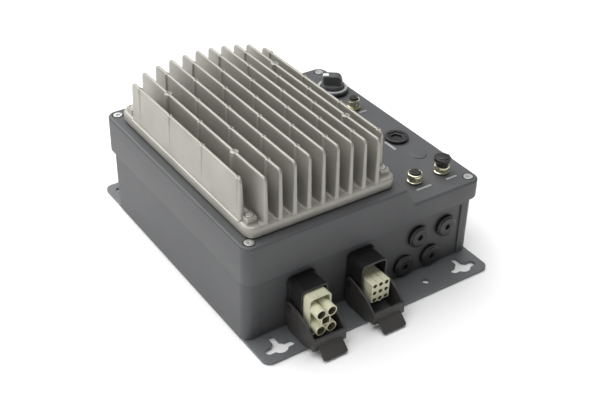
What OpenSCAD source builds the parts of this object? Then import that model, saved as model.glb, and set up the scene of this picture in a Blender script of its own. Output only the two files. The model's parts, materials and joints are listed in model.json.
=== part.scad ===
// Housed servo drive: base box on a slotted mounting plate, stepped electronics cover with a
// finned heat sink, two rectangular lever-lock connectors, round sockets and a rotary switch.
// Origin: centre of the mounting plate's underside. +X right along the front, +Y to the rear, +Z up.

/* [Mounting plate] */
// Width of the plate
plate_w = 254; // [240:1:256]
// Length of the plate from front edge to rear edge
plate_l = 321; // [306:1:340]
// Thickness of the plate
plate_t = 3; // [2.5:0.5:3]
// Corner radius of the plate
plate_r = 8; // [2:1:12]
// Distance of the T-slots from the centre line, along X
slot_x = 105; // [100:1:108]
// Distance of the T-slots from the centre line, along Y
slot_y = 147.5; // [147:0.5:148.5]
// Width of the T-slots
slot_w = 7.5; // [6:0.5:8]
// End-to-end length of the T-slots
slot_len = 29; // [24:1:32]
// Radius of the round eye in the middle of each T-slot
slot_eye_r = 7.5; // [5:0.5:8]

/* [Base box] */
// Width of the base box
base_w = 256; // [254:1:258]
// Length of the base box
base_l = 254; // [250:1:256]
// Height of the joint between the base box and the cover
split_z = 67.7; // [66:0.1:69]
// Wall thickness of both castings
wall = 4; // [3:0.5:4.5]

/* [Cover] */
// Width of the cover
cover_w = 260; // [259:1:262]
// Length of the cover
cover_l = 265; // [262:1:268]
// Top of the high part of the cover, under the heat sink
cover_z = 106.9; // [105:0.1:108]
// Top of the low strip that carries the sockets and the switch
strip_z = 88; // [87:0.1:89]
// X where the sloping step wall meets the high top
step_top_x = 38.6; // [37:0.1:40]
// X where the sloping step wall meets the low strip
step_foot_x = 48.5; // [46:0.1:50]
// Inset of the corner screws from the cover's outer faces
screw_inset = 9.5; // [9:0.1:10]

/* [Heat sink] */
// Left side of the heat sink's base
sink_left = -120.5; // [-122:0.1:-120]
// Right side of the heat sink's base
sink_right = 33.6; // [32:0.1:35]
// Front of the heat sink's base
sink_front = -122.5; // [-124:0.1:-121]
// Rear of the heat sink's base
sink_rear = 115; // [113:0.1:117]
// Top face of the base, between the fins
sink_z = 118.3; // [117:0.1:120]
// Number of fins
fins = 11; // [9:1:11]
// Distance from one fin to the next
fin_pitch = 14.34; // [13.5:0.01:14.4]
// Thickness of a fin at its top
fin_t = 2.8; // [2.4:0.1:4]
// Top of the tallest fin
fin_z = 170; // [160:0.5:172]
// Drop of the fin tops per squared step from the middle fin
fin_crown = 0.48; // [0:0.02:0.5]

/* [Connectors] */
// X of the power connector's centre
power_x = -69.5; // [-72:0.5:-68]
// X of the signal connector's centre
signal_x = -5; // [-7:0.5:-4]
// Height of both connectors' centres
plug_z = 30; // [29.5:0.1:30.5]
// Distance between the lever's arms, outside
lever_w = 34.6; // [34.4:0.1:36]
// Pitch of the four power barrels, across and up
barrel_pitch = [11, 17.6]; // [10.6:0.1:11.4]
// Pitch of the nine signal holes, across and up
signal_pitch = [6.4, 7.8]; // [5.5:0.1:7.8]

/* [Sockets and switch] */
// Centre of the open round socket on the strip
open_socket = [72.2, -102.8]; // [-110:0.1:110]
// Centre of the capped round socket on the strip
capped_socket = [104.2, -103.2]; // [-110:0.1:110]
// Centre of the tall round socket on the strip
tall_socket = [105.3, 38.8]; // [-110:0.1:110]
// Centre of the large screw plug on the strip
top_plug_at = [105.7, -33]; // [-110:0.1:110]
// Centre of the rotary switch on the strip
switch_at = [108, 80.5]; // [-110:0.1:110]
// Radius of the rotary switch's base ring
switch_r = 17; // [15:0.5:18]
// Radius of the low round blank cast onto the strip
blank_r = 8; // [5:0.5:10]

/* [Hidden] */
switch_turn = -35;
knob_h = 15;
grip = [21, 11.5];
grip_r = 8;
blank_at = [105.7, -67.5];
blank_h = 0.7;
$fn = 48;
fit = 0.06;
gap = 0.3;
gasket_t = 1.5;
seal_t = 1;
floor_t = 4;
base_top = split_z - gasket_t;
panel_y = -base_l / 2 + 1.5;
panel_w = 227;
panel_top = 61;
base_r = 9;
slot_leg = 12.7;
slot_leg_w = 6.6;
plate_hole = [61, 145];
cover_r = 10;
cover_in = [cover_w - 2 * wall, cover_l - 2 * wall];
cover_screw = [cover_w / 2 - screw_inset, cover_l / 2 - screw_inset];
boss_r = 6.5;

// Heat sink
sink_size = [sink_right - sink_left, sink_rear - sink_front];
sink_mid = [(sink_right + sink_left) / 2, (sink_rear + sink_front) / 2];
sink_foot = cover_z + seal_t;
fin_x = sink_left + 3.5;
fin_root_t = 5.6;
fin_lean = 1.5;
fin_corner_r = 5;
fin_front = sink_front + 0.3;
fin_rear = 98;
short_fin_front = -107.5;
short_fin_rear = 91;
bump_rear = 74.6;
bump_step = 29.15;
pad = [10, 11, 5.5];
pad_at = [sink_size.x / 2 - 8.2, sink_size.y / 2 - 12.9];
sink_r = 9;
screw_seat_z = sink_z + pad.z - 2.2;
pedestal = [112, 180];
pedestal_z = 99;

// Screw plugs in the front panel: two rows
plug_r = 11.3;
plug_thread_r = 9.5;
gland_at = [[46.8, 15.7], [78.8, 15.7], [62, 43.6], [95, 43.6]];

// Connector hoods
flange_y = panel_y - seal_t;
hood_y = flange_y - 4;
mouth_y = -147.5;
insert_size = [23, 34];
mouth_size = [24.8, 45];
frame_size = [23.2, 41.2];
hood_screw = [12, 20.2];
hood_screw_l = 7.4;
power_front = -166;
frame_front = -156;
frame_back = -138;
signal_front = -158;
signal_block = [19.6, 20.3];
signal_z = plug_z - 1;
groove_z = signal_z + signal_block.y / 2 - 0.8;
lever_axis = [-134, 28.5];
arm_t = 2;
bridge_y = -172.5;
bridge_z = 8.2;
bridge_h = 9.8;

// Round sockets
thread_r = 6;
collar_r = 7.2;
rim_r = 7.6;
collar_z = strip_z + 0.8;
cap_z = strip_z + 8.4;
cap_h = 9.1;
neck_r = 4.4;
neck_top = 100.6;

// Inside
board_t = 1.6;
power_board_z = 84.4;
control_board_z = 70;
low_board_z = 17;
terminal_y = -60;
power_spacer = [72, 88];
control_spacers = [[57, -107], [117, -107], [57, 53], [90, 53]];

// ---- shared shapes ----

module rounded_outline(size, r) {
    square([size.x - 2 * r, size.y], center = true);
    square([size.x, size.y - 2 * r], center = true);
    for (x = [-1, 1], y = [-1, 1])
        translate([x * (size.x / 2 - r), y * (size.y / 2 - r)])
            circle(r);
}

module rounded_block(size, height, r) {
    linear_extrude(height)
        rounded_outline(size, r);
}

// A block with its outline in XZ around (x, z), reaching from y_back forward to y_front
module front_block(x, z, size, r, y_back, y_front) {
    translate([x, y_back, z])
        rotate([90, 0, 0])
            rounded_block(size, y_back - y_front, r);
}

// A round bar along Y, from y_back forward to y_front
module front_bar(x, z, r, y_back, y_front) {
    translate([x, y_back, z])
        rotate([90, 0, 0])
            cylinder(r = r, h = y_back - y_front);
}

module at_corners(p) {
    for (x = [-1, 1], y = [-1, 1])
        translate([x * p.x, y * p.y, 0])
            children();
}

module screw(shaft_r, shaft_l, head_r, head_h, socket_r) {
    difference() {
        union() {
            translate([0, 0, -shaft_l])
                cylinder(r = shaft_r, h = shaft_l);
            cylinder(r = head_r, h = head_h);
        }
        translate([0, 0, head_h - 1.6])
            cylinder(r = socket_r, h = 2, $fn = 6);
    }
}

// ---- mounting plate ----

// A slot along X with a round eye in its middle and a narrower leg towards the box
module t_slot(leg) {
    reach = (slot_len - slot_w) / 2;
    for (x = [-reach, reach])
        translate([x, 0, -1])
            cylinder(d = slot_w, h = plate_t + 2);
    translate([-reach, -slot_w / 2, -1])
        cube([2 * reach, slot_w, plate_t + 2]);
    translate([0, 0, -1])
        cylinder(r = slot_eye_r, h = plate_t + 2);
    translate([0, leg, -1])
        cylinder(d = slot_leg_w, h = plate_t + 2);
    translate([-slot_leg_w / 2, min(0, leg), -1])
        cube([slot_leg_w, abs(leg), plate_t + 2]);
}

module mounting_plate() {
    color("dimgray") difference() {
        rounded_block([plate_w, plate_l], plate_t, plate_r);
        for (x = [-1, 1], y = [-1, 1])
            translate([x * slot_x, y * slot_y, 0])
                t_slot(-y * slot_leg);
        for (y = [-1, 1])
            translate([plate_hole.x, y * plate_hole.y, -1])
                cylinder(r = 3.5, h = plate_t + 2);
        at_corners([100, 100]) {
            translate([0, 0, -1])
                cylinder(r = 2.6, h = plate_t + 2);
            translate([0, 0, -0.01])
                cylinder(r1 = 5.2, r2 = 2.6, h = 2.6);
        }
    }
}

module plate_screws() {
    color("silver") at_corners([100, 100]) difference() {
        union() {
            translate([0, 0, 0.3])
                cylinder(r1 = 4.6, r2 = 2.5, h = 2.1);
            cylinder(r = 2.5, h = 12);
        }
        translate([0, 0, -0.01])
            cylinder(r = 1.5, h = 1.6, $fn = 6);
    }
}

// ---- base box ----

module base_screw_boss(h) {
    at_corners(cover_screw)
        cylinder(r = boss_r, h = h);
}

module base_box() {
    color("#505254") difference() {
        union() {
            difference() {
                translate([0, 0, plate_t])
                    rounded_block([base_w, base_l], base_top - plate_t, base_r);
                translate([0, 0, plate_t + floor_t])
                    rounded_block([base_w - 2 * wall - 2, base_l - 2 * wall - 2], 80, 5);
            }
            intersection() {
                translate([0, 0, plate_t])
                    rounded_block([base_w, base_l], base_top - plate_t, base_r);
                translate([0, 0, plate_t])
                    base_screw_boss(80);
            }
            at_corners([100, 100])
                translate([0, 0, plate_t + 1])
                    cylinder(r = 6, h = 11);
        }
        translate([-panel_w / 2, -base_l / 2 - 1, plate_t + 0.5])
            cube([panel_w, 1 + panel_y + base_l / 2, panel_top - plate_t - 0.5]);
        at_corners([cover_screw.x, cover_screw.y])
            translate([0, 0, base_top - 22])
                cylinder(r = 2.1, h = 30);
        at_corners([100, 100])
            translate([0, 0, -1])
                cylinder(r = 2.6, h = 14.5);
        for (x = [power_x, signal_x]) {
            front_block(x, plug_z, [insert_size.x + 2, insert_size.y + 2], 2, -110, -140);
            at_hood_screws(x)
                front_bar(0, 0, 1.7, -110, -140);
        }
        for (p = gland_at)
            front_bar(p.x, p.y, plug_thread_r + 0.1, -110, -140);
        translate([85, 30, plate_t + 1])
            cylinder(r = 2.6, h = 10);
    }
}

module housing_gasket() {
    color("#1c1c1e") translate([0, 0, base_top]) difference() {
        rounded_block([base_w - 1, base_l - 1], gasket_t, base_r);
        translate([0, 0, -1])
            rounded_block([base_w - 2 * wall - 2, base_l - 2 * wall - 2], 5, 5);
        at_corners(cover_screw)
            translate([0, 0, -1])
                cylinder(r = 2.3, h = 5);
    }
}

// ---- cover ----

// Everything above the low strip, to be cut from the cover, grown inwards by inset
module above_strip(inset, drop) {
    translate([0, 200, 0])
        rotate([90, 0, 0])
            linear_extrude(400)
                polygon([
                    [step_top_x - inset, cover_z - drop + 1],
                    [step_top_x - inset, cover_z - drop],
                    [step_foot_x - inset, strip_z - drop],
                    [200, strip_z - drop],
                    [200, cover_z - drop + 1]
                ]);
}

module strip_holes() {
    for (p = [open_socket, capped_socket, tall_socket])
        translate([p.x, p.y, strip_z - 10])
            cylinder(r = thread_r + 0.15, h = 20);
    translate([top_plug_at.x, top_plug_at.y, strip_z - 10])
        cylinder(r = plug_thread_r + 0.1, h = 20);
    translate([switch_at.x, switch_at.y, strip_z - 10])
        cylinder(r = 5, h = 20);
}

module cover_shell() {
    difference() {
        translate([0, 0, split_z])
            rounded_block([cover_w, cover_l], cover_z - split_z, cover_r);
        above_strip(0, 0);
        difference() {
            translate([0, 0, split_z - 1])
                rounded_block(cover_in, cover_z - split_z - wall + 1, cover_r - wall);
            above_strip(wall, wall);
        }
        translate([sink_mid.x, sink_mid.y, cover_z - 10])
            rounded_block([sink_size.x - 26, sink_size.y - 26], 20, 6);
    }
}

module cover() {
    color("#65676a") difference() {
        union() {
            cover_shell();
            intersection() {
                translate([0, 0, split_z])
                    rounded_block([cover_w, cover_l], cover_z - split_z, cover_r);
                difference() {
                    translate([0, 0, split_z])
                        base_screw_boss(cover_z - split_z);
                    above_strip(0, 0);
                }
            }
            translate([sink_mid.x, sink_mid.y, cover_z - 12])
                at_corners(pad_at)
                    cylinder(r = 5, h = 10);
            translate([blank_at.x, blank_at.y, strip_z - 1])
                cylinder(r = blank_r, h = 1 + blank_h);
        }
        at_corners(cover_screw)
            translate([0, 0, split_z - 1])
                cylinder(r = 2.3, h = 60);
        for (y = [-1, 1]) {
            translate([-cover_screw.x, y * cover_screw.y, cover_z - 2.6])
                cylinder(r = 5.2, h = 5);
            translate([cover_screw.x, y * cover_screw.y, strip_z - 2.6])
                cylinder(r = 5.2, h = 5);
        }
        translate([sink_mid.x, sink_mid.y, cover_z - 11])
            at_corners(pad_at)
                cylinder(r = 2.1, h = 20);
        strip_holes();
    }
}

module cover_screws() {
    color("silver") for (y = [-1, 1]) {
        translate([-cover_screw.x, y * cover_screw.y, cover_z - 2.6])
            screw(2, cover_z - 2.6 - base_top + 16, 4.5, 3, 2);
        translate([cover_screw.x, y * cover_screw.y, strip_z - 2.6])
            screw(2, strip_z - 2.6 - base_top + 16, 4.5, 3, 2);
    }
}

// ---- heat sink ----

function fin_top(i) = fin_z - fin_crown * pow(i - (fins + 1) / 2, 2);
function fin_at(i) = fin_x + (i - 1) * fin_pitch;
function is_outer(i) = i == 1 || i == fins;

module heat_sink_gasket() {
    color("#1c1c1e") translate([sink_mid.x, sink_mid.y, cover_z]) difference() {
        rounded_block([sink_size.x - 3, sink_size.y - 3], seal_t, 5);
        translate([0, 0, -1])
            rounded_block([sink_size.x - 26, sink_size.y - 26], 4, 6);
        at_corners(pad_at)
            translate([0, 0, -1])
                cylinder(r = 2.3, h = 4);
    }
}

// Side view of a fin: leaning ends with rounded upper corners
module fin_side(front, rear, foot, top) {
    r = fin_corner_r;
    for (y = [front + fin_lean + r, rear - fin_lean - r])
        translate([y, top - r])
            circle(r);
    polygon([
        [front, foot], [front + fin_lean, top - r], [front + fin_lean + r, top],
        [rear - fin_lean - r, top], [rear - fin_lean, top - r], [rear, foot]
    ]);
}

module fin(i) {
    front = is_outer(i) ? short_fin_front : fin_front;
    rear = is_outer(i) ? short_fin_rear : fin_rear;
    intersection() {
        translate([fin_at(i), cover_l, 0])
            rotate([90, 0, 0])
                linear_extrude(2 * cover_l)
                    polygon([
                        [-fin_root_t / 2, sink_z - 1], [fin_root_t / 2, sink_z - 1],
                        [fin_t / 2, fin_top(i)], [-fin_t / 2, fin_top(i)]
                    ]);
        translate([fin_at(i) - fin_root_t, 0, 0])
            rotate([90, 0, 90])
                linear_extrude(2 * fin_root_t)
                    fin_side(front, rear, sink_z - 1, fin_top(i));
    }
    first = i % 2 == 1 ? 1 : 2;
    for (k = [first:2:7]) {
        big = (i == 2 || i == fins - 1) && k != 4;
        translate([fin_at(i), bump_rear - (k - 1) * bump_step, sink_z - 1])
            cylinder(r = big ? 4 : 2.5, h = fin_top(i) - sink_z + 1);
    }
}

module heat_sink() {
    color("#b5b2ab") difference() {
        union() {
            translate([sink_mid.x, sink_mid.y, sink_foot])
                rounded_block(sink_size, sink_z - sink_foot, sink_r);
            translate([sink_mid.x, sink_mid.y, pedestal_z])
                rounded_block(pedestal, sink_foot - pedestal_z + 1, 4);
            for (i = [1:fins])
                fin(i);
            translate([sink_mid.x, sink_mid.y, sink_z - 1])
                at_corners(pad_at)
                    translate([-pad.x / 2, -pad.y / 2, 0])
                        cube([pad.x, pad.y, pad.z + 1]);
        }
        translate([sink_mid.x, sink_mid.y, 0])
            at_corners(pad_at) {
                translate([0, 0, sink_foot - 1])
                    cylinder(r = 2.3, h = 30);
                translate([0, 0, screw_seat_z])
                    cylinder(r = 3.9, h = 10);
            }
    }
}

module heat_sink_screws() {
    color("silver") translate([sink_mid.x, sink_mid.y, screw_seat_z])
        at_corners(pad_at)
            screw(2, 24, 3.4, 2.4, 1.6);
}

// ---- rectangular connectors ----

module connector_gasket(x) {
    color("#1c1c1e") difference() {
        front_block(x, plug_z, [30, 52], 5, panel_y, flange_y);
        front_block(x, plug_z, [insert_size.x + 1, insert_size.y + 1], 2, panel_y + 1, flange_y - 1);
        at_hood_screws(x)
            front_bar(0, 0, 1.7, panel_y + 1, flange_y - 1);
    }
}

module at_hood_screws(x) {
    for (side = [-1, 1], level = [-1, 1])
        translate([x + side * hood_screw.x, 0, plug_z + level * hood_screw.y])
            children();
}

module connector_housing(x) {
    color("#1d1c1e") difference() {
        union() {
            front_block(x, plug_z, [30, 52], 5, flange_y, hood_y);
            front_block(x, plug_z, [28, 49], 5, flange_y, mouth_y);
        }
        front_block(x, plug_z, [insert_size.x + 0.6, insert_size.y + 0.6], 2, flange_y + 1, mouth_y - 1);
        front_block(x, plug_z, mouth_size, 3.4, mouth_y + 12, mouth_y - 1);
        translate([x - 20, lever_axis.x, lever_axis.y])
            rotate([0, 90, 0])
                cylinder(r = 2.02, h = 40);
        at_hood_screws(x)
            front_bar(0, 0, 1.6, flange_y + 1, hood_y + 0.6);
    }
}

// Screws driven from inside the box into the back of the hood's flange
module connector_screws(x) {
    color("#2b2a2c") at_hood_screws(x)
        translate([0, -base_l / 2 + wall + 1, 0])
            rotate([-90, 0, 0])
                screw(1.5, hood_screw_l, 2.7, 1.8, 1.2);
}

module lever(x) {
    color("#2b2a2c") union() {
        for (side = [-1, 1])
            translate([x + side * (lever_w / 2 - arm_t / 2) - arm_t / 2, 0, 0])
                lever_arm();
        translate([x - lever_w / 2, bridge_y, bridge_z])
            cube([lever_w, 2.5, bridge_h]);
        translate([x - lever_w / 2, bridge_y, bridge_z - 1.4])
            cube([lever_w, 6, 2]);
        translate([x, bridge_y + 0.5, bridge_z + 2.2])
            rotate([40, 0, 0])
                translate([0, -6.4, -1.1])
                    rounded_block([25, 14.8], 2.2, 2);
    }
}

// One side arm of the locking lever: an eye round the pivot and a blade down to the bridge
module lever_arm() {
    y = lever_axis.x;
    z = lever_axis.y;
    rotate([90, 0, 90])
        linear_extrude(arm_t)
            difference() {
                union() {
                    translate([y, z])
                        circle(6);
                    polygon([
                        [y + 6, z], [y + 5, 9], [y - 1, 4], [-161, 3.6], [-166.5, bridge_z - 1.4],
                        [bridge_y, bridge_z - 0.4], [bridge_y, bridge_z + bridge_h], [-169.5, 20],
                        [-161, 26.8], [-147, 32.2], [y - 2.3, z + 5.55], [y - 1, z + 5.9], [y, z]
                    ]);
                }
                translate([y, z])
                    circle(2.07);
            }
}

module lever_pins(x) {
    color("silver") for (side = [-1, 1])
        translate([x + side * 12.4, lever_axis.x, lever_axis.y])
            rotate([0, side * 90, 0]) {
                cylinder(r = 2, h = 6.2);
                translate([0, 0, 5.2])
                    cylinder(r = 3, h = 1);
            }
}

module power_insert() {
    color("#d8d8bc") difference() {
        union() {
            front_block(power_x, plug_z, insert_size, 3, -118, frame_back - 2);
            difference() {
                front_block(power_x, plug_z, frame_size, 4.4, frame_back, frame_front);
                front_block(power_x, plug_z, frame_size - [3.4, 3.4], 2.8, frame_back - 2, frame_front - 1);
            }
            at_barrels()
                front_bar(0, 0, 5.15, frame_back - 1, power_front);
            front_block(power_x, plug_z, [9.6, 9.6], 1, frame_back - 1, power_front + 1);
        }
        at_barrels() {
            front_bar(0, 0, 4.1, -152, power_front - 1);
            front_bar(0, 0, 3.3, -110, power_front - 1);
        }
        front_block(power_x, plug_z, [7.2, 7.2], 1, -152, power_front);
        front_bar(power_x, plug_z, 2.1, -110, power_front - 1);
    }
}

module at_barrels() {
    for (side = [-1, 1], level = [-1, 1])
        translate([power_x + side * barrel_pitch.x / 2, 0, plug_z + level * barrel_pitch.y / 2])
            children();
}

module contact(r, y_back, y_front, bore_r) {
    difference() {
        front_bar(0, 0, r, y_back, y_front);
        front_bar(0, 0, bore_r, y_front + 10, y_front - 1);
    }
}

module power_contacts() {
    color("#c9a54a") {
        at_barrels()
            contact(3.2, -108, -151, 1.8);
        translate([power_x, 0, plug_z])
            contact(2, -108, -151, 1);
    }
}

module at_signal_holes() {
    for (column = [-1:1], row = [-1:1])
        translate([signal_x + column * signal_pitch.x, 0, signal_z + row * signal_pitch.y])
            children();
}

module signal_insert() {
    color("#d8d8bc") difference() {
        union() {
            front_block(signal_x, plug_z, insert_size, 2, -118, -132);
            front_block(signal_x, signal_z, signal_block, 0.6, -130, signal_front);
            translate([signal_x - 1.5, signal_front, signal_z - signal_block.y / 2 - 1.2])
                cube([3, 8, 2.2]);
        }
        at_signal_holes() {
            front_bar(0, 0, 2.05, -151, signal_front - 1);
            front_bar(0, 0, 1.25, -110, signal_front - 1);
        }
        for (side = [-1, 1])
            translate([signal_x + side * signal_pitch.x / 2 - 0.4, signal_front - 1, groove_z])
                cube([0.8, 22, 1]);
    }
}

module signal_contacts() {
    color("#c9a54a") at_signal_holes()
        contact(1.2, -108, -150, 0.7);
}

// ---- screw plugs ----

module front_plug(p) {
    color("#1d1c1e") difference() {
        union() {
            front_bar(p.x, p.y, plug_r, flange_y, flange_y - 2.8);
            front_bar(p.x, p.y, plug_r - 1.6, flange_y - 1, flange_y - 4);
            front_bar(p.x, p.y, plug_thread_r, panel_y + 10, flange_y - 1);
        }
        front_bar(p.x, p.y, plug_thread_r - 2, panel_y + 11, flange_y);
        translate([p.x, flange_y - 1.5, p.y])
            rotate([90, 0, 0])
                cylinder(r = 3, h = 4, $fn = 6);
    }
}

module seal_ring(outer_r, inner_r, h) {
    difference() {
        cylinder(r = outer_r, h = h);
        translate([0, 0, -1])
            cylinder(r = inner_r, h = h + 2);
    }
}

module plug_seals() {
    color("#1c1c1e") {
        for (p = gland_at)
            translate([p.x, panel_y, p.y])
                rotate([90, 0, 0])
                    seal_ring(10.8, plug_thread_r + 0.15, seal_t);
        translate([top_plug_at.x, top_plug_at.y, strip_z])
            seal_ring(11.4, plug_thread_r + 0.15, seal_t);
    }
}

module top_plug() {
    color("#1d1c1e") translate([top_plug_at.x, top_plug_at.y, strip_z + seal_t]) difference() {
        union() {
            cylinder(r = 12, h = 2.2);
            translate([0, 0, -11])
                cylinder(r = plug_thread_r, h = 12);
        }
        translate([0, 0, -12])
            cylinder(r = plug_thread_r - 2, h = 9);
        translate([0, 0, -1])
            cylinder(r = 6.2, h = 10, $fn = 6);
        translate([0, 0, 0.9])
            cylinder(r = 9.2, h = 4, $fn = 6);
    }
}

// ---- round sockets ----

// Metal body: a collar on the strip, a threaded neck, and a rim round its upper end
module socket_shell(p, top, collar_h, rim_h, mouth_r) {
    translate([p.x, p.y, 0]) difference() {
        union() {
            translate([0, 0, collar_z])
                cylinder(r = collar_r, h = collar_h);
            translate([0, 0, 76])
                cylinder(r = thread_r, h = top - 76);
            if (rim_h > 0)
                translate([0, 0, top - rim_h])
                    cylinder(r = rim_r, h = rim_h);
        }
        translate([0, 0, 75])
            cylinder(r = 4.4, h = 40);
        translate([0, 0, top - 6])
            cylinder(r = mouth_r, h = 7);
    }
}

// Contact carrier: a bar filling the metal body, with a head of its own radius above head_z
module socket_insert(p, top, head_r, head_z) {
    translate([p.x, p.y, 0]) difference() {
        union() {
            translate([0, 0, 77])
                cylinder(r = 4.3, h = head_z - 77);
            translate([0, 0, head_z])
                cylinder(r = head_r, h = top - head_z);
        }
        for (a = [45:90:359])
            rotate([0, 0, a])
                translate([2.1, 0, top - 8])
                    cylinder(r = 0.55, h = 10);
        translate([3.6, -0.7, top - 6])
            cube([2, 1.4, 10]);
    }
}

module open_socket_shell() {
    color("#b9ad8e") socket_shell(open_socket, 98, 1.6, 4.6, 5.4);
}

module open_socket_insert() {
    color("#1d1c1e") socket_insert(open_socket, 99.2, 5.2, 92.5);
}

module capped_socket_shell() {
    color("#b9ad8e") translate([capped_socket.x, capped_socket.y, 0]) difference() {
        union() {
            translate([0, 0, collar_z])
                cylinder(r = rim_r, h = cap_z - collar_z);
            translate([0, 0, 76])
                cylinder(r = thread_r, h = cap_z - 76);
            translate([0, 0, 76])
                cylinder(r = neck_r, h = neck_top - 76);
        }
        translate([0, 0, 75])
            cylinder(r = 4.4, h = cap_z - 1.5 - 75);
        translate([0, 0, 75])
            cylinder(r = neck_r - 1, h = 40);
    }
}

module capped_socket_insert() {
    color("#1d1c1e") socket_insert(capped_socket, neck_top - 1, neck_r - 1.1, cap_z - 1.6);
}

module socket_cap() {
    color("#1d1c1e") translate([capped_socket.x, capped_socket.y, cap_z]) difference() {
        union() {
            cylinder(r = 5.9, h = cap_h);
            translate([0, 0, cap_h - 4.4])
                cylinder(r = 8.3, h = 3.6);
        }
        translate([0, 0, -1])
            cylinder(r = neck_r + gap, h = neck_top - cap_z + 1.6);
    }
}

module tall_socket_shell() {
    color("#b0975a") socket_shell(tall_socket, 99.5, 1.6, 0, 5);
}

module tall_socket_insert() {
    color("#1d1c1e") socket_insert(tall_socket, 101, 4.3, 98);
}

module socket_seals() {
    color("#1c1c1e") for (p = [open_socket, capped_socket, tall_socket])
        translate([p.x, p.y, strip_z])
            seal_ring(collar_r - 0.3, thread_r + 0.2, collar_z - strip_z);
}

module socket_nuts() {
    color("silver") for (p = [open_socket, capped_socket, tall_socket])
        translate([p.x, p.y, strip_z - wall - 3])
            difference() {
                cylinder(r = 9, h = 3, $fn = 6);
                translate([0, 0, -1])
                    cylinder(r = thread_r + 0.1, h = 5);
            }
}

// ---- rotary switch ----

module switch_base() {
    color("#1d1c1e") translate([switch_at.x, switch_at.y, 0]) difference() {
        union() {
            translate([0, 0, strip_z])
                cylinder(r = switch_r, h = 4);
            translate([0, 0, strip_z - 6])
                cylinder(r = 4.8, h = 7);
        }
        translate([0, 0, strip_z - 10])
            cylinder(r = 3 + fit, h = 20);
    }
}

module switch_bezel() {
    color("#9a9c9e") translate([switch_at.x, switch_at.y, strip_z + 4])
        seal_ring(switch_r - 1, 13, 2);
}

module switch_knob() {
    color("#333335") translate([switch_at.x, switch_at.y, strip_z + 4 + gap]) difference() {
        union() {
            cylinder(r = 12, h = 5);
            rotate([0, 0, switch_turn])
                knob_grip();
        }
        translate([0, 0, -1])
            cylinder(r = 3, h = 12);
        rotate([0, 0, switch_turn])
            translate([-11.5, -2.6, knob_h - 3.6])
                cube([7.3, 5.2, 6]);
    }
}

// Grip bar, its far end rounded off in side view
module knob_grip() {
    intersection() {
        rounded_block(grip, knob_h, 4);
        translate([0, grip.y, 0])
            rotate([90, 0, 0])
                linear_extrude(2 * grip.y) {
                    polygon([
                        [-11, -1], [11, -1], [11, knob_h - grip_r], [11 - grip_r, knob_h],
                        [-8.5, knob_h], [-11, knob_h - 2]
                    ]);
                    translate([11 - grip_r, knob_h - grip_r])
                        circle(grip_r);
                }
    }
}

module switch_pointer() {
    color("white") translate([switch_at.x, switch_at.y, strip_z + 4 + gap])
        rotate([0, 0, switch_turn])
            translate([-10.4, -2.6, knob_h - 3.6])
                cube([6.2, 5.2, 3.8]);
}

module switch_shaft() {
    color("silver") translate([switch_at.x, switch_at.y, 66])
        cylinder(r = 3, h = strip_z + 4 + gap + 11 - 66);
}

module switch_body() {
    color("#3a3a3c") translate([switch_at.x, switch_at.y, 56]) difference() {
        translate([-12, -17, 0])
            cube([24, 34, strip_z - 6 - 56]);
        translate([0, 0, 9])
            cylinder(r = 3 + fit, h = 40);
    }
}

// ---- inside the cover ----

module power_board() {
    color("#2f5d3a") translate([-41, 0, power_board_z]) difference() {
        translate([-77, -104, 0])
            cube([154, 208, board_t]);
        at_corners(power_spacer)
            translate([0, 0, -1])
                cylinder(r = 1.7, h = 4);
    }
}

module power_module() {
    color("#3a3a3c") translate([sink_mid.x, -10, power_board_z + board_t])
        rounded_block([74, 96], pedestal_z - 0.5 - power_board_z - board_t, 3);
}

module thermal_pad() {
    color("#8c8f92") translate([sink_mid.x, -10, pedestal_z - 0.5])
        rounded_block([70, 92], 0.5, 3);
}

module dc_link_capacitors() {
    color("#26303f") for (i = [0:3])
        translate([-96 + 32 * i, 70, power_board_z - 38])
            cylinder(r = 14, h = 38);
}

module emc_choke() {
    color("#8a4b2a") translate([-90, -76, power_board_z - 14])
        seal_ring(17, 8, 14);
}

module control_board() {
    color("#2f5d3a") translate([0, 0, control_board_z]) difference() {
        translate([52, -112, 0])
            cube([70, 170, board_t]);
        for (p = control_spacers)
            translate([p.x, p.y, -1])
                cylinder(r = 1.7, h = 4);
    }
}

module board_spacers() {
    color("silver") {
        translate([-41, 0, power_board_z + board_t])
            at_corners(power_spacer)
                cylinder(r = 3, h = cover_z - wall - power_board_z - board_t, $fn = 6);
        for (p = control_spacers)
            translate([p.x, p.y, control_board_z + board_t])
                cylinder(r = 3, h = strip_z - wall - control_board_z - board_t, $fn = 6);
        translate([0, 30, plate_t + floor_t])
            at_corners([94, 62])
                cylinder(r = 3, h = low_board_z - plate_t - floor_t, $fn = 6);
    }
}

// Flat cable from the power board's underside to the control board's top side
module ribbon_cable() {
    low = control_board_z + board_t;
    color("#8f9296") translate([0, 20, 0])
        rotate([90, 0, 0])
            linear_extrude(34)
                polygon([
                    [30, power_board_z], [30, 79], [46, 79], [46, low + 2], [56, low + 2],
                    [56, low], [57, low], [57, low + 3], [47, low + 3], [47, 80], [31, 80],
                    [31, power_board_z]
                ]);
}

// ---- inside the base box ----

module connection_board() {
    color("#2f5d3a") translate([0, 30, low_board_z]) difference() {
        translate([-100, -92, 0])
            cube([200, 160, board_t]);
        at_corners([94, 62])
            translate([0, 0, -1])
                cylinder(r = 1.7, h = 4);
        translate([85, 0, -1])
            cylinder(r = 8, h = 4);
    }
}

module terminals(x, width, ways) {
    base_z = low_board_z + board_t;
    pitch = width / ways;
    difference() {
        translate([x - width / 2, terminal_y, base_z])
            cube([width, 16, 25]);
        for (i = [0:ways - 1])
            translate([x - width / 2 + pitch * (i + 0.5), terminal_y + 11, base_z + 20])
                cylinder(r = pitch * 0.3, h = 10);
    }
}

module power_terminals() {
    color("#4b7f57") terminals(power_x, 35, 5);
}

module signal_terminals() {
    color("#4b7f57") terminals(signal_x, 32, 8);
}

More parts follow.
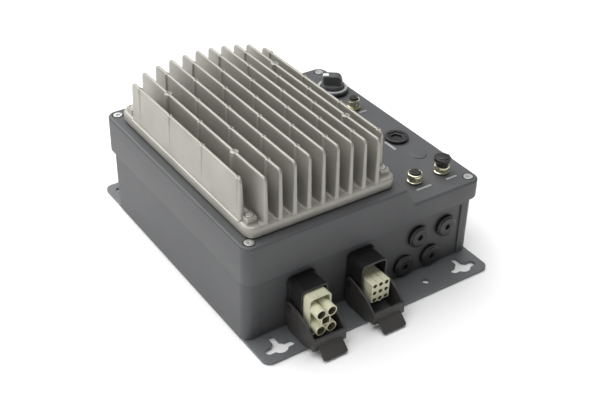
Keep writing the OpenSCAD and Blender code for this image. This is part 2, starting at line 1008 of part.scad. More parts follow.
module board_socket() {
    color("#3a3a3c") translate([-12, 10, low_board_z + board_t]) difference() {
        cube([60, 16, 30]);
        translate([2, 2, 14])
            cube([56, 12, 20]);
    }
}

module board_plug() {
    top = power_board_z;
    color("#d8d8bc") translate([-9.5, 12.5, low_board_z + board_t + 20])
        cube([35, 11, top - low_board_z - board_t - 20]);
}

module internal_leads() {
    color("#2d2d30") {
        at_barrels()
            front_bar(0, 0, 1.8, terminal_y, -108);
        translate([power_x, 0, plug_z])
            front_bar(0, 0, 1.4, terminal_y, -108);
        at_signal_holes()
            front_bar(0, 0, 0.9, terminal_y, -108);
    }
}

module earth_stud() {
    color("#b0975a") translate([85, 30, plate_t + 1.5]) {
        cylinder(r = 2.5, h = 24);
        translate([0, 0, 2.5])
            cylinder(r = 4.6, h = 4, $fn = 6);
        translate([0, 0, 15])
            cylinder(r = 4.6, h = 4, $fn = 6);
    }
}

// Blank plates beside the sockets
module legend_plates() {
    color("#9fa19e") {
        for (bar = [[73.4, -115.6, 17], [105.9, -116, 12.8], [109.5, 27.5, 9]])
            translate([bar.x, bar.y, strip_z])
                rounded_block([bar.z, 2.4], 0.3, 0.6);
        translate([92, -41, strip_z])
            rounded_block([3, 17], 0.3, 0.6);
    }
}

mounting_plate();
plate_screws();
base_box();
housing_gasket();
cover();
cover_screws();
heat_sink_gasket();
heat_sink();
heat_sink_screws();
connector_housing(power_x);  // power_connector_housing
connector_gasket(power_x);  // power_connector_gasket
connector_screws(power_x);  // power_connector_screws
power_insert();
power_contacts();
lever(power_x);  // power_lever
lever_pins(power_x);  // power_lever_pins
connector_housing(signal_x);  // signal_connector_housing
connector_gasket(signal_x);  // signal_connector_gasket
connector_screws(signal_x);  // signal_connector_screws
signal_insert();
signal_contacts();
lever(signal_x);  // signal_lever
lever_pins(signal_x);  // signal_lever_pins
front_plug(gland_at[0]);  // gland_plug_1
front_plug(gland_at[1]);  // gland_plug_2
front_plug(gland_at[2]);  // gland_plug_3
front_plug(gland_at[3]);  // gland_plug_4
plug_seals();
top_plug();
open_socket_shell();
open_socket_insert();
capped_socket_shell();
capped_socket_insert();
socket_cap();
tall_socket_shell();
tall_socket_insert();
socket_seals();
socket_nuts();
switch_base();
switch_bezel();
switch_knob();
switch_pointer();
switch_shaft();
switch_body();
power_board();
power_module();
thermal_pad();
dc_link_capacitors();
emc_choke();
control_board();
board_spacers();
ribbon_cable();
connection_board();
power_terminals();
signal_terminals();
board_plug();
board_socket();
internal_leads();
earth_stud();
legend_plates();
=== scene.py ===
import json
import math

import bmesh
import bpy
from mathutils import Matrix, Vector


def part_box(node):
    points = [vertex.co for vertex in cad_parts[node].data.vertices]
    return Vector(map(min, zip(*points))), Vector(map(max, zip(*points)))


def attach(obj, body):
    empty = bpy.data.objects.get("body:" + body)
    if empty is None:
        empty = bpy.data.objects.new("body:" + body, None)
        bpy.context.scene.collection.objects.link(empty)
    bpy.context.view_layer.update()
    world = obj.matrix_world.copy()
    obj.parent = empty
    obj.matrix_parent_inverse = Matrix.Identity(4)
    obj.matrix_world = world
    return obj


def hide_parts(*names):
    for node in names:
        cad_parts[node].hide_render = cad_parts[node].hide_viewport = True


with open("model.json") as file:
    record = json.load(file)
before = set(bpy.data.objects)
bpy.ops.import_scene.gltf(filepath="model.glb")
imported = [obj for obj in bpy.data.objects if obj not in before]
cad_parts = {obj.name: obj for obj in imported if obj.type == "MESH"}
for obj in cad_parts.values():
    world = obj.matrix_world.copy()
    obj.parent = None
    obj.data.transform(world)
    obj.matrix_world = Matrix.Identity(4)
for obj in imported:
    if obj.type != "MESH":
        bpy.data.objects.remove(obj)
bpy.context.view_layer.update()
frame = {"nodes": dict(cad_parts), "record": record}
MM = 0.001
SHARP = math.radians(38)  # faces that meet at more than this are shaded with an edge between them

# driving dimensions in millimetres; heights are above the mounting plate's underside
COVER_TOP = 106.9
STRIP_TOP = 88.0
COVER_R = 10.0
BLANK_AT = (105.7, -67.5)
SINK_FOOT = 107.9
SINK_DECK = 118.3
FINS = 11
FIN_PITCH = 14.34


# ---- camera, lights and floor ----

def make_camera():
    """The photograph's viewpoint, as solved from the outlines of the cover, plate and fins."""
    spot = (-0.47629, -0.70915, 0.62353)
    yaw, pitch, roll = (math.radians(a) for a in (34.676, 34.628, 1.491))
    forward = Vector((math.sin(yaw) * math.cos(pitch), math.cos(yaw) * math.cos(pitch), -math.sin(pitch)))
    level = forward.cross(Vector((0, 0, 1))).normalized()
    up = level.cross(forward)
    right = math.cos(roll) * level + math.sin(roll) * up
    up = right.cross(forward)
    turn = Matrix((right, up, -forward)).transposed().to_4x4()
    camera = bpy.data.cameras.new("camera")
    camera.sensor_width = 36
    camera.lens = 62.556
    camera.clip_start = 0.05
    camera.clip_end = 20
    seat = bpy.data.objects.new("camera", camera)
    seat.matrix_world = Matrix.Translation(spot) @ turn
    bpy.context.scene.collection.objects.link(seat)
    bpy.context.scene.camera = seat


def area_light(name, spot, aim, size, watts):
    light = bpy.data.lights.new(name, "AREA")
    light.shape = "RECTANGLE"
    light.size, light.size_y = size
    light.energy = watts
    lamp = bpy.data.objects.new(name, light)
    lamp.location = spot
    lamp.rotation_euler = (Vector(aim) - Vector(spot)).to_track_quat("-Z", "Y").to_euler()
    bpy.context.scene.collection.objects.link(lamp)


def far_light(name, way, strength, spread):
    """An even soft light from direction way, as from a distant panel spread degrees wide."""
    light = bpy.data.lights.new(name, "SUN")
    light.energy = strength
    light.angle = math.radians(spread)
    lamp = bpy.data.objects.new(name, light)
    lamp.rotation_euler = Vector(way).to_track_quat("Z", "Y").to_euler()
    bpy.context.scene.collection.objects.link(lamp)


def make_lights():
    world = bpy.data.worlds.new("studio")
    world.use_nodes = True
    background = world.node_tree.nodes["Background"]
    background.inputs["Color"].default_value = (1, 1, 1, 1)
    background.inputs["Strength"].default_value = 0.24
    bpy.context.scene.world = world
    bpy.context.scene.view_settings.view_transform = "Standard"
    far_light("top_panel", way=(-0.15, 0.42, 1), strength=3.4, spread=80)
    far_light("left_panel", way=(-1, -0.1, 0.6), strength=0.65, spread=80)
    area_light("glint", spot=(-0.5, 1.5, 1.3), aim=(0, 0, 0.1), size=(0.9, 0.5), watts=9)


def make_floor():
    """A pale sheet, a little below the plate's underside so that the two never share a level."""
    reach, drop = 6, 0.0004
    mesh = bpy.data.meshes.new("floor")
    corners = [(-reach, -reach, 0), (reach, -reach, 0), (reach, reach, 0), (-reach, reach, 0)]
    mesh.from_pydata(corners, [], [(0, 1, 2, 3)])
    floor = bpy.data.objects.new("floor", mesh)
    floor.location.z = -drop
    bpy.context.scene.collection.objects.link(floor)
    paper = bpy.data.materials.new("floor_paper")
    paper.use_nodes = True
    shader = paper.node_tree.nodes["Principled BSDF"]
    shader.inputs["Base Color"].default_value = (0.95, 0.95, 0.95, 1)
    shader.inputs["Roughness"].default_value = 0.9
    mesh.materials.append(paper)


make_camera()
make_lights()
make_floor()


# ---- materials ----

GRAIN_SHARE = 0.35


def surface(name, light, shade, patch, rough, spread, grain, bump, metallic):
    """Patches and grains of noise mottle the colour; the grains alone vary roughness and height."""
    mat = bpy.data.materials.new(name)
    mat.use_nodes = True
    nodes, links = mat.node_tree.nodes, mat.node_tree.links
    shader = nodes["Principled BSDF"]
    shader.inputs["Metallic"].default_value = metallic
    where = nodes.new("ShaderNodeTexCoord")

    def noise(scale, detail):
        node = nodes.new("ShaderNodeTexNoise")
        node.inputs["Scale"].default_value = scale
        node.inputs["Detail"].default_value = detail
        links.new(where.outputs["Object"], node.inputs["Vector"])
        return node.outputs["Fac"]

    patches, grains = noise(patch, 3), noise(grain, 4)
    share = nodes.new("ShaderNodeMath")
    share.operation = "MULTIPLY"
    share.inputs[1].default_value = 1 - GRAIN_SHARE
    links.new(patches, share.inputs[0])
    blend = nodes.new("ShaderNodeMath")
    blend.operation = "MULTIPLY_ADD"
    blend.inputs[1].default_value = GRAIN_SHARE
    links.new(grains, blend.inputs[0])
    links.new(share.outputs[0], blend.inputs[2])
    ramp = nodes.new("ShaderNodeValToRGB")
    dark_end, light_end = ramp.color_ramp.elements[0], ramp.color_ramp.elements[1]
    dark_end.position, light_end.position = 0.34, 0.66
    dark_end.color = (*(min(1, c * shade) for c in light), 1)
    light_end.color = (*light, 1)
    links.new(blend.outputs[0], ramp.inputs["Fac"])
    links.new(ramp.outputs["Color"], shader.inputs["Base Color"])
    gloss = nodes.new("ShaderNodeMapRange")
    gloss.inputs["To Min"].default_value = rough - spread
    gloss.inputs["To Max"].default_value = rough + spread
    links.new(grains, gloss.inputs["Value"])
    links.new(gloss.outputs["Result"], shader.inputs["Roughness"])
    relief = nodes.new("ShaderNodeBump")
    relief.inputs["Strength"].default_value = bump
    relief.inputs["Distance"].default_value = 0.3 * MM
    links.new(grains, relief.inputs["Height"])
    links.new(relief.outputs["Normal"], shader.inputs["Normal"])
    return mat


# look: (colour, darker share, patches per metre, roughness, its spread, grains per metre, bump, metallic)
LOOKS = {
    "grey_casting": ((0.076, 0.0775, 0.081), 0.86, 26, 0.5, 0.1, 900, 0.14, 0),
    "sheet_steel": ((0.142, 0.15, 0.156), 0.84, 30, 0.46, 0.1, 700, 0.1, 0),
    "bare_casting": ((0.4, 0.387, 0.345), 0.84, 34, 0.46, 0.08, 700, 0.16, 0.45),
    "zinc_steel": ((0.78, 0.79, 0.78), 0.86, 300, 0.3, 0.06, 1500, 0.02, 0.9),
    "black_steel": ((0.03, 0.03, 0.032), 0.7, 200, 0.4, 0.08, 1500, 0.06, 0),
    "seal_rubber": ((0.018, 0.018, 0.02), 0.7, 120, 0.75, 0.08, 1800, 0.1, 0),
    "black_plastic": ((0.017, 0.0165, 0.018), 0.7, 60, 0.36, 0.08, 1500, 0.1, 0),
    "lever_plastic": ((0.05, 0.047, 0.045), 0.72, 60, 0.46, 0.08, 1500, 0.12, 0),
    # painted shade: a dark brown for the walls inside the inserts' holes
    "insert_hole_shade": ((0.2, 0.175, 0.115), 0.7, 300, 0.6, 0.08, 1500, 0.05, 0),
    "insert_plastic": ((0.72, 0.71, 0.52), 0.9, 120, 0.5, 0.08, 1200, 0.06, 0),
    "gold_contact": ((0.78, 0.6, 0.28), 0.8, 400, 0.28, 0.06, 1500, 0.04, 1),
    "socket_metal": ((0.74, 0.71, 0.52), 0.86, 200, 0.24, 0.05, 900, 0.02, 1),
    "switch_grey": ((0.085, 0.087, 0.09), 0.75, 90, 0.42, 0.08, 1400, 0.1, 0),
    "bezel_grey": ((0.42, 0.43, 0.44), 0.85, 90, 0.36, 0.07, 1400, 0.05, 0),
    "pointer_white": ((0.8, 0.8, 0.77), 0.9, 200, 0.45, 0.06, 1400, 0.05, 0),
    "circuit_board": ((0.03, 0.14, 0.06), 0.7, 200, 0.35, 0.08, 1200, 0.08, 0),
    "component_black": ((0.03, 0.03, 0.035), 0.75, 150, 0.5, 0.08, 1500, 0.08, 0),
    "capacitor_sleeve": ((0.02, 0.035, 0.09), 0.8, 120, 0.3, 0.06, 900, 0.05, 0),
    "choke_wire": ((0.42, 0.16, 0.06), 0.6, 500, 0.35, 0.08, 1500, 0.2, 0.6),
    "cable_grey": ((0.3, 0.3, 0.32), 0.85, 200, 0.5, 0.08, 1500, 0.06, 0),
    "terminal_green": ((0.07, 0.26, 0.12), 0.8, 150, 0.45, 0.08, 1500, 0.06, 0),
    "legend_grey": ((0.36, 0.37, 0.36), 0.82, 200, 0.45, 0.08, 1500, 0.06, 0),
}
# nodes shown in another look than the one named after their slot
LOOK_OF = {"power_lever": "lever_plastic", "signal_lever": "lever_plastic"}

mats = {name: surface(name, *look) for name, look in LOOKS.items()}
slot_of = {s["node"]: s["material_slot"] for s in frame["record"]["subparts"]}
body_of = {n: b for b, ns in frame["record"]["behaviour"]["bodies"].items() for n in ns}


# ---- mesh tools, in millimetres ----

def place(x, y, z):
    return Matrix.Translation((x, y, z))


def facing_front(x, y, z):
    """Turns a shape built up +Z so that it grows towards the front, from y."""
    return place(x, y, z) @ Matrix.Rotation(math.radians(90), 4, "X")


def rounded(w, l, r, z, n=8, x=0.0, y=0.0):
    """A ring on a rectangle with round corners, n steps to a corner."""
    r = max(min(r, w / 2 - 0.01, l / 2 - 0.01), 0.02)
    ring = []
    for sx, sy, start in ((1, 1, 0), (-1, 1, 90), (-1, -1, 180), (1, -1, 270)):
        for k in range(n + 1):
            a = math.radians(start + 90 * k / n)
            ring.append((x + sx * (w / 2 - r) + r * math.cos(a), y + sy * (l / 2 - r) + r * math.sin(a), z))
    return ring


def hexagon(r, z, n=48):
    """A ring of n points on a hexagon whose corners are at radius r."""
    side, ring = math.radians(60), []
    for k in range(n):
        a = 2 * math.pi * k / n
        reach = r * math.cos(side / 2) / math.cos((a % side) - side / 2)
        ring.append((reach * math.cos(a), reach * math.sin(a), z))
    return ring


def scalloped(r, z, lobes, depth, n=96):
    """A ring with grip hollows of the given depth between its lobes."""
    ring = []
    for k in range(n):
        a = 2 * math.pi * k / n
        reach = r - depth * (0.5 - 0.5 * math.cos(lobes * a)) ** 2
        ring.append((reach * math.cos(a), reach * math.sin(a), z))
    return ring


def circle(r, z, n=48):
    return [(r * math.cos(2 * math.pi * k / n), r * math.sin(2 * math.pi * k / n), z) for k in range(n)]


def eased(z0, z1, low, high, n=4):
    """(inset, height) levels of a wall with its lower and upper edges rounded."""
    levels = []
    for k in range(n + 1):
        a = math.radians(90 * k / n)
        levels.append((low * (1 - math.sin(a)), z0 + low * (1 - math.cos(a))))
    for k in range(n + 1):
        a = math.radians(90 * k / n)
        levels.append((high * (1 - math.cos(a)), z1 - high * (1 - math.sin(a))))
    return levels


class Shape:
    """Collects closed skins in millimetres and makes one object of them."""

    def __init__(self):
        self.verts, self.faces = [], []

    def loft(self, rings, move=Matrix.Identity(4), capped=True):
        start, n = len(self.verts), len(rings[0])
        for ring in rings:
            self.verts += [move @ Vector(p) for p in ring]
        for k in range(len(rings) - 1):
            for i in range(n):
                a, b = start + k * n + i, start + k * n + (i + 1) % n
                self.faces.append((a, b, b + n, a + n))
        if capped:
            self.faces.append(tuple(range(start, start + n))[::-1])
            self.faces.append(tuple(range(start + (len(rings) - 1) * n, start + len(rings) * n)))
        return self

    def block(self, w, l, r, z0, z1, low=0.5, high=0.5, move=Matrix.Identity(4), n=8):
        """A block whose lower and upper edges are rounded by low and high."""
        levels = eased(z0, z1, low, high)
        return self.loft([rounded(w - 2 * i, l - 2 * i, r - i, z, n) for i, z in levels], move)

    def lathe(self, profile, move=Matrix.Identity(4), n=48):
        return self.loft([circle(max(r, 0.01), z, n) for r, z in profile], move)

    def object(self, name):
        mesh = bpy.data.meshes.new(name)
        mesh.from_pydata([v * MM for v in self.verts], [], self.faces)
        work = bmesh.new()
        work.from_mesh(mesh)
        bmesh.ops.remove_doubles(work, verts=work.verts, dist=1e-7)
        bmesh.ops.dissolve_degenerate(work, edges=work.edges, dist=1e-7)
        bmesh.ops.recalc_face_normals(work, faces=work.faces)
        work.to_mesh(mesh)
        work.free()
        mesh.shade_smooth()
        mesh.set_sharp_from_angle(angle=SHARP)
        obj = bpy.data.objects.new(name, mesh)
        bpy.context.scene.collection.objects.link(obj)
        return obj


shown_by_pieces = set()


def stand_in(obj, node, *more_looks):
    """obj is shown in place of the CAD node, rides its body and takes its finish."""
    for name in (slot_of[node], *more_looks):
        obj.data.materials.append(mats[name])
    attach(obj, body_of[node])
    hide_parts(node)
    shown_by_pieces.add(node)


def discard(obj):
    mesh = obj.data
    bpy.data.objects.remove(obj)
    bpy.data.meshes.remove(mesh)


def cut(obj, cutter):
    """Takes the cutter's shape out of obj, for good."""
    tool = obj.modifiers.new("cut", "BOOLEAN")
    tool.object = cutter
    tool.operation = "DIFFERENCE"
    tool.solver = "EXACT"
    seen = obj.evaluated_get(bpy.context.evaluated_depsgraph_get())
    result = bpy.data.meshes.new_from_object(seen)
    obj.modifiers.clear()
    old = obj.data
    obj.data = result
    bpy.data.meshes.remove(old)
    discard(cutter)


def join(obj, extra):
    """Adds the extra piece's faces to obj."""
    work = bmesh.new()
    work.from_mesh(obj.data)
    work.from_mesh(extra.data)
    work.to_mesh(obj.data)
    work.free()
    discard(extra)


def soften(node, width):
    """Rounds a CAD node's edges by width millimetres and gives it its own finish."""
    obj = frame["nodes"][node]
    obj.data.materials.clear()
    obj.data.materials.append(mats[LOOK_OF.get(node, slot_of[node])])
    ease_edges(obj, width)


def ease_edges(obj, width):
    """Rounds obj's edges by width millimetres, after clearing away the seams inside its flat faces."""
    obj.data.shade_smooth()
    weld = obj.modifiers.new("weld", "WELD")
    weld.merge_threshold = 2e-6
    flat = obj.modifiers.new("flat", "DECIMATE")
    flat.decimate_type = "DISSOLVE"
    flat.angle_limit = math.radians(1)
    flat.delimit = {"MATERIAL"}
    if width:
        bevel = obj.modifiers.new("bevel", "BEVEL")
        bevel.width = width * MM
        bevel.segments = 3
        bevel.limit_method = "ANGLE"
        bevel.angle_limit = math.radians(40)
        bevel.use_clamp_overlap = True
        bevel.miter_outer = "MITER_ARC"
    even = obj.modifiers.new("even", "WEIGHTED_NORMAL")
    even.keep_sharp = True


def box_mm(node):
    low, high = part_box(node)
    return Vector(low) / MM, Vector(high) / MM


def centre_of(node):
    low, high = box_mm(node)
    return (low + high) / 2


# ---- cover ----

def cover_profile():
    """Height of the cover's top along X: high part, sloping step, low strip, with eased corners."""
    crest, toe, pieces = Vector((38.6, COVER_TOP)), Vector((48.5, STRIP_TOP)), 6
    slope = (toe - crest).normalized()
    path = [(-140, COVER_TOP)]
    bends = (crest, Vector((-1, 0)), slope, 2.2), (toe, -slope, Vector((1, 0)), 2.0)
    for corner, before, after, reach in bends:
        start, end = corner + before * reach, corner + after * reach
        for k in range(pieces + 1):
            t = k / pieces
            p = (1 - t) ** 2 * start + 2 * t * (1 - t) * corner + t * t * end
            path.append((p.x, p.y))
    path.append((140, STRIP_TOP))
    return path


def height_at(path, x):
    for (xa, za), (xb, zb) in zip(path, path[1:]):
        if xa <= x <= xb:
            return za + (zb - za) * (x - xa) / (xb - xa)
    return path[-1][1]


def outline_depth(x, y, half_w, half_l, r):
    """Distance inwards from a rounded rectangle's outline, and the way out."""
    qx, qy = abs(x) - (half_w - r), abs(y) - (half_l - r)
    outside = Vector((max(qx, 0), max(qy, 0)))
    depth = r - outside.length - min(max(qx, qy), 0)
    if outside.length < 1e-9:
        way = Vector((1, 0)) if qx > qy else Vector((0, 1))
    else:
        way = outside.normalized()
    return depth, Vector((math.copysign(way.x, x), math.copysign(way.y, y)))


def cover_grid(half_w, half_l):
    """Columns of points over the cover's top, set close where its edge and its corners turn."""
    edge, path = 2.4, cover_profile()
    beside_sides = [0, 0.06, 0.25, 0.6, 1.1, 1.7, 2.4, 3.4, 4.8, 7, 10]
    beside_ends = [0, 0.06, 0.25, 0.6, 1.1, 1.7, 2.4, 4, 8]
    xs = [-half_w + step for step in beside_sides] + [-90, -50, -10, 20, 32]
    xs += [x for x, z in path[1:-1]] + [55, 80, 105] + [half_w - step for step in reversed(beside_sides)]
    verts, columns = [], []
    for x in xs:
        inward = half_w - abs(x)
        reach = half_l
        if inward < COVER_R:
            reach -= COVER_R - math.sqrt(max(0, COVER_R ** 2 - (COVER_R - inward) ** 2))
        ys = [-reach + step for step in beside_ends] + [-80, -40, 0, 40, 80]
        ys += [reach - step for step in reversed(beside_ends)]
        columns.append(range(len(verts), len(verts) + len(ys)))
        for y in ys:
            depth = max(0, outline_depth(x, y, half_w, half_l, COVER_R)[0])
            drop = edge - math.sqrt(max(0, edge ** 2 - (edge - depth) ** 2)) if depth < edge else 0
            verts.append(Vector((x, y, height_at(path, x) - drop)))
    return verts, columns


def cover_skin(half_w, half_l, foot):
    """The cover's outside: its top, its walls down to the eased lower edge, and a closed underside."""
    skin = Shape()
    skin.verts, columns = cover_grid(half_w, half_l)
    for a, b in zip(columns, columns[1:]):
        skin.faces += [(a[i], b[i], b[i + 1], a[i + 1]) for i in range(len(a) - 1)]
    first, *inner, last = columns
    rim = [*reversed(first), *(c[0] for c in inner), *last, *(c[-1] for c in reversed(inner))]
    above = rim
    for inset, z in ((0, foot + 1.2), (0.35, foot + 0.35), (1.2, foot)):
        ring = []
        for index in rim:
            p = skin.verts[index]
            way = outline_depth(p.x, p.y, half_w, half_l, COVER_R)[1]
            ring.append(len(skin.verts))
            skin.verts.append(Vector((p.x - way.x * inset, p.y - way.y * inset, z)))
        for i in range(len(ring)):
            j = (i + 1) % len(ring)
            skin.faces.append((above[i], ring[i], ring[j], above[j]))
        above = ring
    skin.faces.append(tuple(above))
    return skin


def cover_pockets():
    """The four corner screws' pockets, each with a broken upper edge."""
    head_r, pocket_r, depth = 4.5, 5.2, 2.6
    reach = box_mm("cover_screws")[1]
    pockets = Shape()
    for x, top in ((head_r - reach.x, COVER_TOP), (reach.x - head_r, STRIP_TOP)):
        profile = [(0.3, top - depth), (pocket_r, top - depth), (pocket_r, top - 0.5),
                   (pocket_r + 0.7, top + 0.2), (pocket_r + 0.7, top + 5)]
        for y in (head_r - reach.y, reach.y - head_r):
            pockets.lathe(profile, place(x, y, 0), n=32)
    return pockets.object("screw_pockets")


def make_cover():
    low, high = box_mm("cover")
    cover = cover_skin(high.x, high.y, low.z).object("cover_casting")
    cut(cover, cover_pockets())
    cover.data.shade_smooth()
    cover.data.set_sharp_from_angle(angle=math.radians(30))
    disc = [(8.2, -2), (8.2, 0), (8.05, 0.1), (8, 0.5), (7.8, 0.66), (7.5, 0.7)]
    join(cover, Shape().lathe(disc, place(*BLANK_AT, STRIP_TOP)).object("blank"))
    stand_in(cover, "cover")


make_cover()


# ---- heat sink ----

def fin_rings(x, front, rear, top):
    """Levels of one fin at x: a filleted foot, a taper, ends that lean in, and a rounded tip."""
    root, tip, lean, corner, edge, fillet = 5.0, 2.7, 1.5, 5.0, 1.0, 2.6
    foot = SINK_DECK
    heights = [foot - 1]
    heights += [foot + fillet * (1 - math.cos(math.radians(a))) for a in (0, 20, 40, 60, 75, 90)]
    heights += [foot + (top - foot) * t for t in (0.3, 0.6)]
    heights += [top - corner + corner * math.sin(math.radians(a)) for a in (0, 12, 24, 36, 46)]
    heights += [top - edge + edge * math.sin(math.radians(a)) for a in (15, 40, 60, 78, 90)]
    rings = []
    for z in heights:
        rise = max(0, z - foot)
        share = rise / (top - foot)
        half = (root * (1 - share) + tip * share) / 2
        if rise < fillet:
            half += 0.75 * (fillet - math.sqrt(fillet ** 2 - (fillet - rise) ** 2))
        a, b = front + lean * share, rear - lean * share
        over = z - (top - corner)
        if over > 0:
            step = corner - math.sqrt(max(0, corner ** 2 - over ** 2))
            a, b = a + step, b - step
        over = z - (top - edge)
        if over > 0:
            half -= edge - math.sqrt(max(0, edge ** 2 - over ** 2))
        rings.append(rounded(2 * half, b - a, half * 0.85, z, 4, x, (a + b) / 2))
    return rings


def add_fins(shape, low):
    """Eleven crowned fins, with round bosses at every other one of seven places along each."""
    middle = (FINS + 1) / 2
    for i in range(1, FINS + 1):
        x, top = low.x + 3.5 + (i - 1) * FIN_PITCH, 170 - 0.48 * (i - middle) ** 2
        front, rear = (-107.5, 91) if i in (1, FINS) else (low.y + 0.3, 98)
        shape.loft(fin_rings(x, front, rear, top))
        for k in range(1 if i % 2 else 2, 8, 2):
            r = 4.0 if i in (2, FINS - 1) and k != 4 else 2.5
            boss = [(r + 1.6, SINK_DECK - 1), (r + 1.4, SINK_DECK), (r + 0.5, SINK_DECK + 0.8),
                    (r, SINK_DECK + 2.6), (r, top - 0.9), (r - 0.3, top - 0.25), (r - 0.9, top)]
            shape.lathe(boss, place(x, 74.6 - (k - 1) * 29.15, 0), n=24)


def make_heat_sink():
    low, high = box_mm("heat_sink")
    mid, size = (low + high) / 2, high - low
    shape = Shape()
    shape.block(size.x, size.y, 9, SINK_FOOT, SINK_DECK, 1.0, 2.2, place(mid.x, mid.y, 0), n=10)
    shape.block(112, 180, 4, 99, SINK_FOOT + 1, 0.6, 0.2, place(mid.x, mid.y, 0))
    add_fins(shape, low)
    screws_low, screws_high = box_mm("heat_sink_screws")
    head_r, seat_r, seat_z = 3.4, 3.9, 121.6
    reach = (screws_high - screws_low) / 2
    seat = [(0.5, seat_z), (seat_r, seat_z), (seat_r, seat_z + 1.7), (seat_r + 0.4, seat_z + 2.3),
            (seat_r + 0.4, seat_z + 4.4), (0.5, seat_z + 4.4)]
    pads, seats = Shape(), Shape()
    for x in (-1, 1):
        for y in (-1, 1):
            at = place(mid.x + x * (reach.x - head_r), mid.y + y * (reach.y - head_r), 0)
            shape.block(12.5, 13.5, 3.0, SINK_DECK - 1, SINK_DECK + 0.7, 0.1, 0.6, at)
            pads.block(10, 11, 1.2, SINK_DECK - 1, SINK_DECK + 5.5, 0.2, 0.8, at)
            seats.lathe(seat, at, n=32)
    pads = pads.object("pads")
    cut(pads, seats.object("screw_seats"))
    pads.data.shade_smooth()
    pads.data.set_sharp_from_angle(angle=SHARP)
    sink = shape.object("heat_sink_casting")
    join(sink, pads)
    stand_in(sink, "heat_sink")


make_heat_sink()


# ---- turned pieces ----

# (radius, height above the strip) once round the wall of each socket, from its lower end
SOCKET_PROFILES = {
    "open": [
        (4.45, -10), (6, -10), (6, 0.8), (7.2, 0.8), (7.35, 1.1), (7.35, 2), (7, 2.4), (6.3, 2.6),
        (6.25, 4.6), (6.6, 5), (7.5, 5.6), (7.6, 6.1), (7.6, 8.8), (7.3, 9.5), (6.8, 9.9), (6.2, 10),
        (5.6, 9.8), (5.42, 9.3), (5.42, 4.2), (4.45, 4), (4.45, -10)],
    "capped": [
        (4.45, -10), (6, -10), (6, 0.8), (7.2, 0.8), (7.4, 1.1), (7.4, 2), (7, 2.4), (6.7, 2.7), (6.7, 3.2),
        (7.3, 3.6), (7.6, 4.2), (7.6, 7.4), (7.2, 8.2), (6.6, 8.38), (4.4, 8.38), (4.4, 12.3), (4.1, 12.6),
        (3.45, 12.6), (3.42, 6.9), (4.45, 6.9), (4.45, -10)],
    "tall": [
        (4.45, -10), (6, -10), (6, 0.8), (7.1, 0.8), (7.2, 1), (7.2, 2.1), (6.9, 2.4), (5.8, 2.5),
        (5.8, 3), (6, 3.3), (6, 9.4), (5.75, 9.7), (5.75, 10.1), (5.9, 10.4), (5.9, 11.1), (5.6, 11.5),
        (5.1, 11.4), (5, 5.6), (4.45, 5.5), (4.45, -10)],
}


def make_sockets():
    for kind, profile in SOCKET_PROFILES.items():
        node = kind + "_socket_shell"
        at = centre_of(node)
        shell = Shape().lathe(profile, place(at.x, at.y, STRIP_TOP), n=64)
        stand_in(shell.object(kind + "_socket_body"), node)


def make_cap():
    at, foot, n = centre_of("socket_cap"), box_mm("socket_cap")[0].z, 96
    inside = [(0.01, 5.2), (4.6, 5.2), (4.7, 5), (4.7, 0.2), (4.9, 0)]
    neck = [(5.6, 0), (5.9, 0.3), (5.9, 2.9), (6.3, 3.1), (6.5, 3.5), (6.3, 3.9), (5.9, 4.1), (5.9, 4.6)]
    grip = [(7.4, 4.7, 0.1), (8.1, 5, 0.5), (8.3, 5.4, 0.8),
            (8.3, 7.6, 0.8), (8, 8.1, 0.7), (7.4, 8.3, 0.3)]
    top = [(6.6, 8.3), (6.2, 8.2), (5.9, 8.5), (5.6, 9), (5.2, 9.1), (0.01, 9.1)]
    rings = [circle(r, z, n) for r, z in inside + neck]
    rings += [scalloped(r, z, 9, depth, n) for r, z, depth in grip]
    rings += [circle(r, z, n) for r, z in top]
    cap = Shape().loft(rings, place(at.x, at.y, foot), capped=False)
    stand_in(cap.object("socket_cap_moulding"), "socket_cap")


def make_gland_plug(node):
    low, high = box_mm(node)
    thread = [(0.01, 0), (7.5, 0), (7.5, -11), (9.3, -11), (9.5, -10.6), (9.5, -0.02)]
    flange = [(10.9, 0), (11.3, 0.4), (11.3, 2.0), (11.1, 2.5), (10.6, 2.78), (10, 2.85), (9.7, 3.1),
              (9.5, 3.6), (9, 3.92), (8.2, 4), (3.6, 4)]
    rings = [circle(r, z) for r, z in thread + flange]
    rings += [hexagon(3.3, 3.9), hexagon(3, 3.5), hexagon(3, 1.5), circle(0.01, 1.5)]
    move = facing_front((low.x + high.x) / 2, low.y + 4, (low.z + high.z) / 2)
    stand_in(Shape().loft(rings, move, capped=False).object(node + "_moulding"), node)


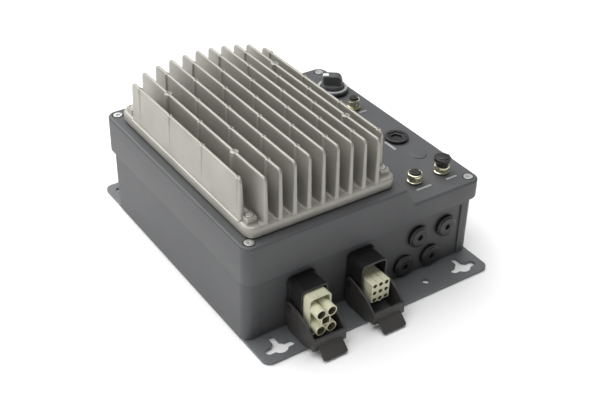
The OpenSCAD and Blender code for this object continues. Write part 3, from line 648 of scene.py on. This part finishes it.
def make_top_plug():
    at, flange_h = centre_of("top_plug"), 2.2
    foot = box_mm("top_plug")[1].z - flange_h
    thread = [(0.01, -3), (7.5, -3), (7.5, -11), (9.3, -11), (9.5, -10.6), (9.5, 0)]
    flange = [(11.6, 0), (12, 0.4), (12, 1.6), (11.7, 2.05), (11.2, flange_h), (10, flange_h)]
    recess = [(9.4, 2.15), (9.2, 1.9), (9.1, 1), (8.9, 0.9), (6.5, 0.9), (6.2, 0.6), (6.2, -0.9)]
    rings = [circle(r, z) for r, z in thread + flange]
    rings += [hexagon(r, z) for r, z in recess]
    rings.append(circle(0.01, -1))
    plug = Shape().loft(rings, place(at.x, at.y, foot), capped=False)
    stand_in(plug.object("top_plug_moulding"), "top_plug")


make_sockets()
make_cap()
for number in range(1, 5):
    make_gland_plug("gland_plug_%d" % number)
make_top_plug()


# ---- contact inserts: the node's own shape, the walls of its holes painted dark as shade ----

def make_insert(node, width, holes):
    """holes are (x, z, reach, distance rule) in millimetres; their faces behind the front are painted dark
    as shade.
    """
    front = box_mm(node)[0].y
    source = frame["nodes"][node]
    mesh = source.data.copy()
    mesh.transform(source.matrix_world)
    mesh.materials.clear()
    for face in mesh.polygons:
        c = face.center / MM
        deep = c.y > front + 0.1 and any(rule(c.x - x, c.z - z) < reach for x, z, reach, rule in holes)
        # faces inside the holes take the painted shade
        face.material_index = 1 if deep else 0
    obj = bpy.data.objects.new(node + "_moulding", mesh)
    bpy.context.scene.collection.objects.link(obj)
    # the second finish is the painted shade of the holes
    stand_in(obj, node, "insert_hole_shade")
    ease_edges(obj, width)


def square_reach(dx, dz):
    return max(abs(dx), abs(dz))


def make_inserts():
    at = centre_of("power_contacts")
    holes = [(at.x + dx, at.z + dz, 4.13, math.hypot) for dx in (-5.5, 5.5) for dz in (-8.8, 8.8)]
    make_insert("power_insert", 0.35, holes + [(at.x, at.z, 3.63, square_reach)])
    at = centre_of("signal_contacts")
    holes = [(at.x + dx, at.z + dz, 2.08, math.hypot) for dx in (-6.4, 0, 6.4) for dz in (-7.8, 0, 7.8)]
    make_insert("signal_insert", 0.3, holes)


make_inserts()


# ---- carried-over CAD nodes ----

# edge rounding in millimetres; the nodes not named keep their edges
EASED = {
    "mounting_plate": 0.5, "base_box": 1.2, "legend_plates": 0.1,
    "power_connector_housing": 0.9, "signal_connector_housing": 0.9, "power_lever": 0.5, "signal_lever": 0.5,
    "heat_sink_screws": 0.3, "cover_screws": 0.3, "plate_screws": 0.2,
    "open_socket_insert": 0.2, "capped_socket_insert": 0.2, "tall_socket_insert": 0.2,
    "switch_base": 0.6, "switch_bezel": 0.5, "switch_knob": 0.9, "switch_pointer": 0.3,
}
for node in frame["nodes"]:
    if node not in shown_by_pieces:
        soften(node, EASED.get(node, 0))
